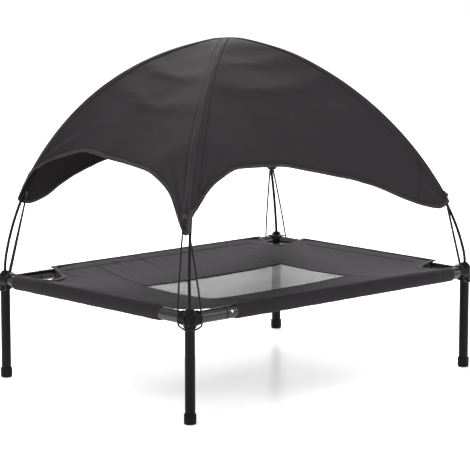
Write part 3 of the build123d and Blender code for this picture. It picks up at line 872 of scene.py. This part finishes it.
def sleeve_mouths():
    """Both mouths of every sleeve: edge, way into the cloth, and the way out from the rail's axis."""
    mouths = {}
    for rail, (out_x, out_y) in rail_looks.items():
        made, _ = sleeve_rows(rail)
        along_rail = np.array([abs(out_y), abs(out_x), 0.0])
        axis_at = np.array([out_x * half_x, out_y * half_y, rail_axis])
        for end in (0, -1):
            edge = made[end, :-5]
            inward = np.tile(along_rail * (1 if end == 0 else -1), (len(edge), 1))
            centre = edge * along_rail + axis_at
            mouths[rail, end] = edge, inward, unit(edge - centre)
    return mouths


def sling_rows():
    """Every row of thread on the sling: the two seams, round the window, inside each sleeve and each hem."""
    rows = []

    def flat_row(x, y):
        point = sling_at(*np.broadcast_arrays(np.asarray(x, float), np.asarray(y, float)), lift=0.0002)
        rows.append((point, np.tile(up, (len(point), 1))))

    ys, xs = np.linspace(-half_y + 0.03, half_y - 0.03, 160), np.linspace(-half_x + 0.14, half_x - 0.11, 200)
    for line in seam_lines:
        flat_row(line - 0.0022, ys)
        flat_row(line + 0.0022, ys)
    wx, wy = np.linspace(mesh_low.x, mesh_high.x, 120), np.linspace(mesh_low.y, mesh_high.y, 80)
    for inset in (0.003, 0.008):
        flat_row(wx, mesh_low.y - inset)
        flat_row(wx, mesh_high.y + inset)
    for away in (0.0245, 0.0275):
        flat_row(xs, -half_y + away)
        flat_row(xs, half_y - away)
        flat_row(-half_x + away, ys[25:-25])
        flat_row(half_x - away, ys[30:-30])
    return rows


def make_piping():
    """Thin black cord sewn along the back edge of the window and down the seam at its right end."""
    xs = np.linspace(mesh_low.x - 0.006, mesh_high.x + 0.006, 120)
    ys = np.linspace(-half_y + 0.02, half_y - 0.02, 160)
    made = []
    for name, x, y in (("piping_back", xs, np.full_like(xs, mesh_high.y + 0.0005)),
                       ("piping_seam", np.full_like(ys, mesh_high.x + 0.0005), ys)):
        path = sling_at(x, y, lift=0.0004)
        made.append(make_tube(name, path, round_outline(0.0032, 0.0022, 12), np.tile(up, (len(path), 1))))
    return made


def make_tip_rolls():
    """Cloth rolled over at the ends of the two right-hand ridges: short bars, round at the ends."""
    made = []
    for corner, side in (("front_right", "front"), ("back_right", "back")):
        t = 1.0 if canopy_sides[side][1] == corner else -1.0
        far = float(hem_reach(side, np.array([t]))[0]) - 0.003
        middle, normal = arch(corner, np.array([far]), canopy_lift + 0.0012)
        aim = np.array(corner_signs[corner]) * toward
        across = np.array([-aim[1], aim[0], 0.0])
        bar = np.linspace(-1, 1, 16)
        path = middle + across * (bar * 0.010)[:, None] - normal * (0.0035 * bar * bar)[:, None]
        size = 0.0042 * np.sqrt(np.clip(1.06 - bar ** 4, 0.05, 1))
        outline = round_outline(2.0, 1.7, 16, 0.9)[None] * size[:, None, None]
        made.append(make_tube("tip_roll_" + corner, path, outline, np.tile(normal, (16, 1))))
    return made


def make_cord_tabs():
    """Folded tapes that hold the ends of the elastic at the tips: flat tubes round the cord's end."""
    made = []
    for name, (sx, sy) in corner_signs.items():
        route = np.array(loop_route(name)) * MM
        for end, way in ((0, 1), (-1, -2)):
            at, towards = (np.array([sx * (half_x - p[0]), sy * (half_y - p[1]), rail_axis + p[2]])
                           for p in (route[end], route[way]))
            down = unit(towards - at)
            path = at + down * np.linspace(-0.008, 0.003, 12)[:, None]
            width = 0.0022 + 0.0014 * ease(np.linspace(1, 0, 12), 0.1, 0.8)
            ring = round_outline(2.0, 1.5, 16, 0.7)[None] * width[:, None, None]
            facing = np.tile([*(-np.array([sx, sy]) * toward), 0.0], (12, 1))
            made.append(make_tube(f"cord_tab_{name}_{0 if end == 0 else 1}", path, ring, facing))
    return made


# ---- elastic loops ----
cord_dia = 3.8 * MM
braid_turn = 0.0085             # length of cord in which a strand goes once round it
loop_under = 19.6               # millimetres from the rails' axes down to the lowest part of a loop


def loop_route(name):
    """Middle line of an elastic loop about its corner, from the canopy's tip, under the corner and back.

    x runs in along the long rail and y in along the short rail, z is above the rails. Both ends are in the
    tip, between the pole and the cloth.
    """
    first, second = next((side, 1 if two == name else -1) for side, (one, two, _) in canopy_sides.items()
                         if name in (one, two))
    far = hem_reach(first, np.array([float(second)]))[0] - 0.004
    tip = arch(name, far, pole_r + cord_dia / 2 + 0.0004)[0] / MM
    x, y, z = half_x / MM - abs(tip[0]), half_y / MM - abs(tip[1]), tip[2] - rail_axis / MM
    aside, inside, drop = {"front_left": (-7, 7, 3), "back_left": (8, 7, 4)}.get(name, (0, 0, 0))
    x, y, z = x + aside, y + inside, z - drop       # the flap beside the pole carries the elastic
    low = -loop_under
    return [(x + 1.8, y - 2.4, z), (22.6, -17.2, -9.0), (10.6, -10.9, low), (-5.9, -13.1, low),
            (-14.3, -1.9, low), (-7.4, 13.3, low), (-17.2, 22.6, -9.0), (x - 1.8, y + 2.4, z)]


def spline_line(points):
    """Evenly spaced points on the smooth spline whose control points these are."""
    curve = bpy.data.curves.new("route", "CURVE")
    curve.dimensions, curve.resolution_u = "3D", 48
    spline = curve.splines.new("NURBS")
    spline.points.add(len(points) - 1)
    spline.points.foreach_set("co", np.column_stack([points, np.ones(len(points))]).ravel())
    spline.order_u, spline.use_endpoint_u = 3, True
    carrier = bpy.data.objects.new("route", curve)
    mesh = bpy.data.meshes.new_from_object(carrier)
    line = np.zeros(len(mesh.vertices) * 3)
    mesh.vertices.foreach_get("co", line)
    bpy.data.objects.remove(carrier)
    bpy.data.meshes.remove(mesh)
    return line.reshape(-1, 3)


def make_loop(name):
    """One braided elastic loop: a round section swelling and pinching as its two sets of strands cross."""
    sx, sy = corner_signs[name]
    route = np.array(loop_route(name)) * MM
    points = np.stack([sx * (half_x - route[:, 0]), sy * (half_y - route[:, 1]), rail_axis + route[:, 2]], 1)
    if sx * sy < 0:
        points = points[::-1]
    line = spline_line(points)
    path, far = along(line, 0.0011)
    turn = np.linspace(0, 2 * pi, 16, endpoint=False)[None]
    wound = far[:, None] / braid_turn * 2 * pi
    weave = np.sin(4 * turn + wound) * np.sin(4 * turn - wound)
    radius = cord_dia / 2 * (0.97 + 0.045 * weave)
    outline = np.stack([radius * np.cos(turn), radius * np.sin(turn)], -1)
    piece = make_tube("elastic_cord_" + name, path, outline)
    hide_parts("elastic_loop_" + name)
    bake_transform(piece)
    return piece


# ---- finishes ----
class Wire:
    """One output of a node; arithmetic on it adds Math nodes."""

    def __init__(self, recipe, socket):
        self.recipe, self.socket = recipe, socket

    def _with(self, operation, first, second):
        return self.recipe.node("Math", {"operation": operation}, {0: first, 1: second})

    def __add__(self, other):
        return self._with("ADD", self, other)

    def __sub__(self, other):
        return self._with("SUBTRACT", self, other)

    def __rsub__(self, other):
        return self._with("SUBTRACT", other, self)

    def __mul__(self, other):
        return self._with("MULTIPLY", self, other)

    def __pow__(self, other):
        return self._with("POWER", self, other)

    def __gt__(self, other):
        return self._with("GREATER_THAN", self, other)


class Recipe:
    """A finish: one Principled shader with its fixed values, and a method that adds any other node."""

    def __init__(self, name, **fixed):
        self.material = bpy.data.materials.new(name)
        self.material.use_nodes = True
        self.tree = self.material.node_tree
        self.shader = self.tree.nodes["Principled BSDF"]
        self.drive(**fixed)

    def put(self, socket, value):
        if isinstance(value, Wire):
            self.tree.links.new(value.socket, socket)
        elif isinstance(value, (tuple, list)) and len(value) == 3 and len(socket.default_value) == 4:
            socket.default_value = (*value, 1.0)
        else:
            socket.default_value = value

    def node(self, kind, settings=None, sockets=None, out=0):
        made = self.tree.nodes.new("ShaderNode" + kind)
        for name, value in (settings or {}).items():
            if name == "stops":
                ramp = made.color_ramp
                while len(ramp.elements) < len(value):
                    ramp.elements.new(0.5)
                for element, (spot, colour) in zip(ramp.elements, value):
                    element.position, element.color = spot, (*colour, 1.0)
            else:
                setattr(made, name, value)
        for key, value in (sockets or {}).items():
            self.put(made.inputs[key], value)
        return Wire(self, made.outputs[out])

    def drive(self, **inputs):
        """Sets or links the shader's inputs: Base_Color stands for Base Color."""
        for name, value in inputs.items():
            self.put(self.shader.inputs[name.replace("_", " ")], value)

    def noise(self, where, scale, detail=4.0, rough=0.55):
        sockets = {"Vector": where, "Scale": scale, "Detail": detail, "Roughness": rough}
        return self.node("TexNoise", {}, sockets)

    def tint(self, share, dark, light):
        """A colour between dark and light by share."""
        settings = {"data_type": "RGBA", "clamp_factor": True}
        return self.node("Mix", settings, {0: share, 6: dark, 7: light}, out=2)

    def relief(self, height, depth, strength=1.0):
        bumped = self.node("Bump", {}, {"Height": height, "Distance": depth, "Strength": strength})
        self.drive(Normal=bumped)


def place(recipe):
    """Where a point is on its own piece."""
    return recipe.node("TexCoord", out=3)


def cut(recipe):
    """Where a point is on the flat cloth."""
    return recipe.node("UVMap", {"uv_map": "cut"})


def split(recipe, where):
    """The x and y of a place as two wires."""
    parts = recipe.tree.nodes.new("ShaderNodeSeparateXYZ")
    recipe.put(parts.inputs[0], where)
    return Wire(recipe, parts.outputs[0]), Wire(recipe, parts.outputs[1])


def wave_of(recipe, value, pitch):
    """0 to 1 and back once every pitch."""
    return recipe.node("Math", {"operation": "SINE"}, {0: value * (2 * pi / pitch)}) * 0.5 + 0.5


def painted_steel(name, colour, roughness, coat):
    """Baked black paint on tube: faint orange peel, haze where hands rub it, and fine dust."""
    recipe = Recipe(name, Metallic=0.0, Coat_Roughness=0.06, Specular_IOR_Level=0.08)
    where = place(recipe)
    peel = recipe.noise(where, 900.0, 2.0)
    haze = recipe.noise(where, 14.0, 5.0, 0.65)
    scuff = recipe.noise(where, 160.0, 3.0, 0.8) ** 6.0
    lighter = tuple(c * 1.9 + 0.002 for c in colour)
    recipe.drive(Base_Color=recipe.tint(haze * 0.5 + scuff * 1.5, colour, lighter),
                 Roughness=haze * 0.18 + scuff * 0.6 + (roughness - 0.06),
                 Coat_Weight=coat - haze * 0.3 * coat)
    recipe.relief(peel, 0.00001, 0.2)
    return recipe.material


def moulded(name, colour, roughness, grain):
    """Moulded plastic or rubber: a fine spark-eroded grain and a little uneven gloss."""
    recipe = Recipe(name, Specular_IOR_Level=0.08)
    where = place(recipe)
    fine, broad = recipe.noise(where, 2200.0, 2.0), recipe.noise(where, 30.0, 4.0)
    lighter = tuple(c * 1.7 + 0.003 for c in colour)
    recipe.drive(Base_Color=recipe.tint(broad * 0.8, colour, lighter),
                 Roughness=broad * 0.2 + (roughness - 0.1))
    recipe.relief(fine, grain, 0.5)
    return recipe.material


def bright_metal(name, colour, roughness):
    """Bare or plated metal, with a fine uneven brushing."""
    recipe = Recipe(name, Metallic=1.0)
    where = place(recipe)
    brushed = recipe.noise(where, 600.0, 3.0, 0.7)
    recipe.drive(Base_Color=recipe.tint(brushed, tuple(c * 0.82 for c in colour), colour),
                 Roughness=brushed * 0.2 + (roughness - 0.1))
    return recipe.material


def woven_cloth(name, dark, light, pitch, sheen, relief=0.00010, rough=0.82):
    """Plain weave of fine threads: each thread a rounded hill, slubs of lighter yarn and soft clouding."""
    recipe = Recipe(name, Sheen_Weight=sheen, Sheen_Roughness=0.45, Specular_IOR_Level=0.05)
    where = cut(recipe)
    u, v = split(recipe, where)
    warp, weft = wave_of(recipe, u, pitch), wave_of(recipe, v, pitch)
    over = recipe.node("TexChecker", {}, {"Vector": where, "Scale": 2.0 / pitch}, out=1)
    threads = over * warp + (1 - over) * weft
    slub_u = recipe.noise(recipe.node("Mapping", {}, {"Vector": where, "Scale": (900.0, 26.0, 1.0)}), 1.0, 3.0)
    slub_v = recipe.noise(recipe.node("Mapping", {}, {"Vector": where, "Scale": (26.0, 900.0, 1.0)}), 1.0, 3.0)
    cloud = recipe.noise(where, 7.0, 5.0, 0.6)
    tone = threads * 0.30 + slub_u * 0.25 + slub_v * 0.25 + cloud * 0.35 - 0.12
    recipe.drive(Base_Color=recipe.tint(tone, dark, light),
                 Roughness=threads * -0.08 + cloud * 0.1 + (rough - 0.02))
    recipe.relief(threads + slub_u * 0.5, relief, 0.6)
    return recipe.material


def open_mesh(name, dark, light, pitch):
    """Coated yarn in an open weave: square holes between round threads, each painted lighter along its middle
    as a highlight.
    """
    recipe = Recipe(name, Specular_IOR_Level=0.08)
    where = cut(recipe)
    u, v = split(recipe, where)
    warp, weft = wave_of(recipe, u, pitch), wave_of(recipe, v, pitch)
    thread = recipe.node("Math", {"operation": "MAXIMUM"}, {0: warp, 1: weft})
    cloud = recipe.noise(recipe.node("Mapping", {}, {"Vector": where, "Scale": (5.0, 26.0, 1.0),
                                                     "Rotation": (0, 0, radians(-28))}), 1.0, 4.0)
    # thread * 0.5 lightens each thread's middle: a painted highlight. The clouding is the yarn's own uneven
    # tone.
    recipe.drive(Base_Color=recipe.tint(thread * 0.5 + cloud * 0.6 - 0.1, dark, light),
                 Roughness=cloud * 0.2 + 0.35, Alpha=thread > 0.12)
    recipe.relief(thread, 0.0002, 0.6)
    return recipe.material


def braid(name, dark, light):
    """Two crossing sets of strands round a cord."""
    recipe = Recipe(name, Sheen_Weight=0.05, Specular_IOR_Level=0.2)
    u, v = split(recipe, cut(recipe))
    one = wave_of(recipe, u * 4.0 + v * (1 / braid_turn), 1.0)
    other = wave_of(recipe, u * 4.0 - v * (1 / braid_turn), 1.0)
    strands = one * other
    recipe.drive(Base_Color=recipe.tint(strands, dark, light), Roughness=0.75 - strands * 0.15)
    recipe.relief(strands, 0.0002, 0.8)
    return recipe.material


def make_finishes():
    """Every finish by the name of the record's slot, and those of the sewn details."""
    return {
        "gloss_tube": painted_steel("black gloss paint", (0.003, 0.003, 0.003), 0.14, 0.75),
        "satin_tube": painted_steel("black satin paint", (0.004, 0.0038, 0.0038), 0.42, 0.02),
        "foot_rubber": moulded("foot rubber", (0.004, 0.004, 0.004), 0.62, 0.00006),
        "moulded_nylon": moulded("moulded nylon", (0.0025, 0.0025, 0.0025), 0.36, 0.00004),
        "plated_button": bright_metal("plated steel", (0.75, 0.75, 0.74), 0.16),
        "black_screw": moulded("blackened screw", (0.012, 0.012, 0.012), 0.32, 0.00002),
        "bright_steel": bright_metal("spring steel", (0.55, 0.55, 0.56), 0.28),
        "fibreglass": painted_steel("pole resin", (0.005, 0.005, 0.005), 0.36, 0.05),
        "elastic_cord": braid("braided elastic", (0.004, 0.004, 0.004), (0.016, 0.015, 0.015)),
        "sling_cloth": woven_cloth("sling canvas", (0.0120, 0.0101, 0.0117), (0.031, 0.0268, 0.031), 0.0012,
                                   0.03),
        "mesh_cloth": open_mesh("window mesh", (0.006, 0.0065, 0.0065), (0.028, 0.030, 0.030), 0.0018),
        "canopy_cloth": woven_cloth("canopy cloth", (0.0128, 0.0108, 0.0122), (0.034, 0.029, 0.0325), 0.0009,
                                    0.04),
        # The tape is coloured about twice as light as the cloth: a painted highlight along every hem, sleeve
        # mouth, cord tab and tip roll.
        "tape": woven_cloth("binding tape with painted highlight", (0.024, 0.022, 0.0215), (0.062, 0.057, 0.0545), 0.0009, 0.03),
        "thread": moulded("sewing thread", (0.003, 0.003, 0.003), 0.5, 0.00001),
    }


# ---- floor and light ----
def make_stage():
    """A pale floor, a white surround, and four round soft lamps turned to the bed's middle."""
    floor_points = np.array([[-9, -9, 0], [9, -9, 0], [9, 9, 0], [-9, 9, 0]], float)
    floor = make_piece("floor", floor_points, [[0, 1, 2, 3]])
    recipe = Recipe("pale floor", Base_Color=(0.9, 0.9, 0.9), Roughness=0.24, Specular_IOR_Level=0.3,
                    Emission_Color=(1, 1, 1), Emission_Strength=0.35)
    floor.data.materials.append(recipe.material)
    world = bpy.data.worlds.new("studio")
    scene.world = world
    world.use_nodes = True
    world.node_tree.nodes["Background"].inputs[0].default_value = (1, 1, 1, 1)
    world.node_tree.nodes["Background"].inputs[1].default_value = 1.0
    scene.view_settings.view_transform = "Standard"
    for name, place_at, size, power in (
            ("key", (-2.6, -1.2, 3.2), 1.6, 45), ("fill", (2.6, -2.6, 1.8), 2.2, 22),
            ("top", (1.3, 1.6, 3.1), 1.6, 190), ("rim", (3.0, 3.3, 2.6), 1.2, 60)):
        light = bpy.data.lights.new(name, "AREA")
        light.shape, light.size, light.energy = "DISK", size, power
        lamp = bpy.data.objects.new(name, light)
        scene.collection.objects.link(lamp)
        lamp.location = place_at
        aim = Vector((0, 0, 0.35)) - lamp.location
        lamp.rotation_mode = "QUATERNION"
        lamp.rotation_quaternion = aim.to_track_quat("-Z", "Y")


def canopy_flat():
    """A square that takes the canopy's four sides: its diagonal is twice the longest way down to the hem."""
    side = 2 * max(float(hem_reach(name, np.array([0.9]))[0]) for name in canopy_sides) / sqrt(2)
    return side, side


make_camera()
for corner in corner_signs:
    make_loop(corner)
finishes = make_finishes()
hang_canopy()
hang_sling()

canopy = make_canopy()
canopy.data.materials.append(finishes["canopy_cloth"])
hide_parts("canopy_fabric")
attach(canopy, "canopy")
canopy_flat()

sling = make_sling()
sling.data.materials.append(finishes["sling_cloth"])
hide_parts("sling_fabric")
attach(sling, "frame")

panel = make_mesh_panel()
panel.data.materials.append(finishes["mesh_cloth"])
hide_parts("sling_mesh")
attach(panel, "frame")

bind = hem_binding("canopy_hem", *canopy_edges(), *hem_tape, loop=True)
patches = make_tip_patches()
tabs = make_cord_tabs() + make_tip_rolls()
canopy_thread = make_stitches("canopy_thread", canopy_rows())
for piece in (bind, patches, *tabs, canopy_thread):
    own_finish = {canopy_thread: "thread", patches: "canopy_cloth"}.get(piece, "tape")
    piece.data.materials.append(finishes[own_finish])
    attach(piece, "canopy")

notch_tapes = [hem_binding("notch_hem_" + name, *edges, 0.010, 0.0030)
               for name, edges in notch_hems().items()]
mouth_tapes = [hem_binding(f"mouth_{rail}_{'low' if end == 0 else 'high'}", *edges, *hem_tape)
               for (rail, end), edges in sleeve_mouths().items()]
piping = make_piping()
sling_thread = make_stitches("sling_thread", sling_rows())
for piece in (*notch_tapes, *mouth_tapes, *piping, sling_thread):
    piece.data.materials.append(finishes["thread" if piece is sling_thread or piece in piping else "tape"])
    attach(piece, "frame")

slots = {row["node"]: row["material_slot"] for row in frame["record"]["subparts"]}
for node, part in frame["nodes"].items():
    finish = finishes.get(slots.get(node))
    if finish:
        part.data.materials.clear()
        part.data.materials.append(finish)
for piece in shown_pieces():
    if piece.name.startswith("elastic_cord_"):
        piece.data.materials.append(finishes["elastic_cord"])
make_stage()
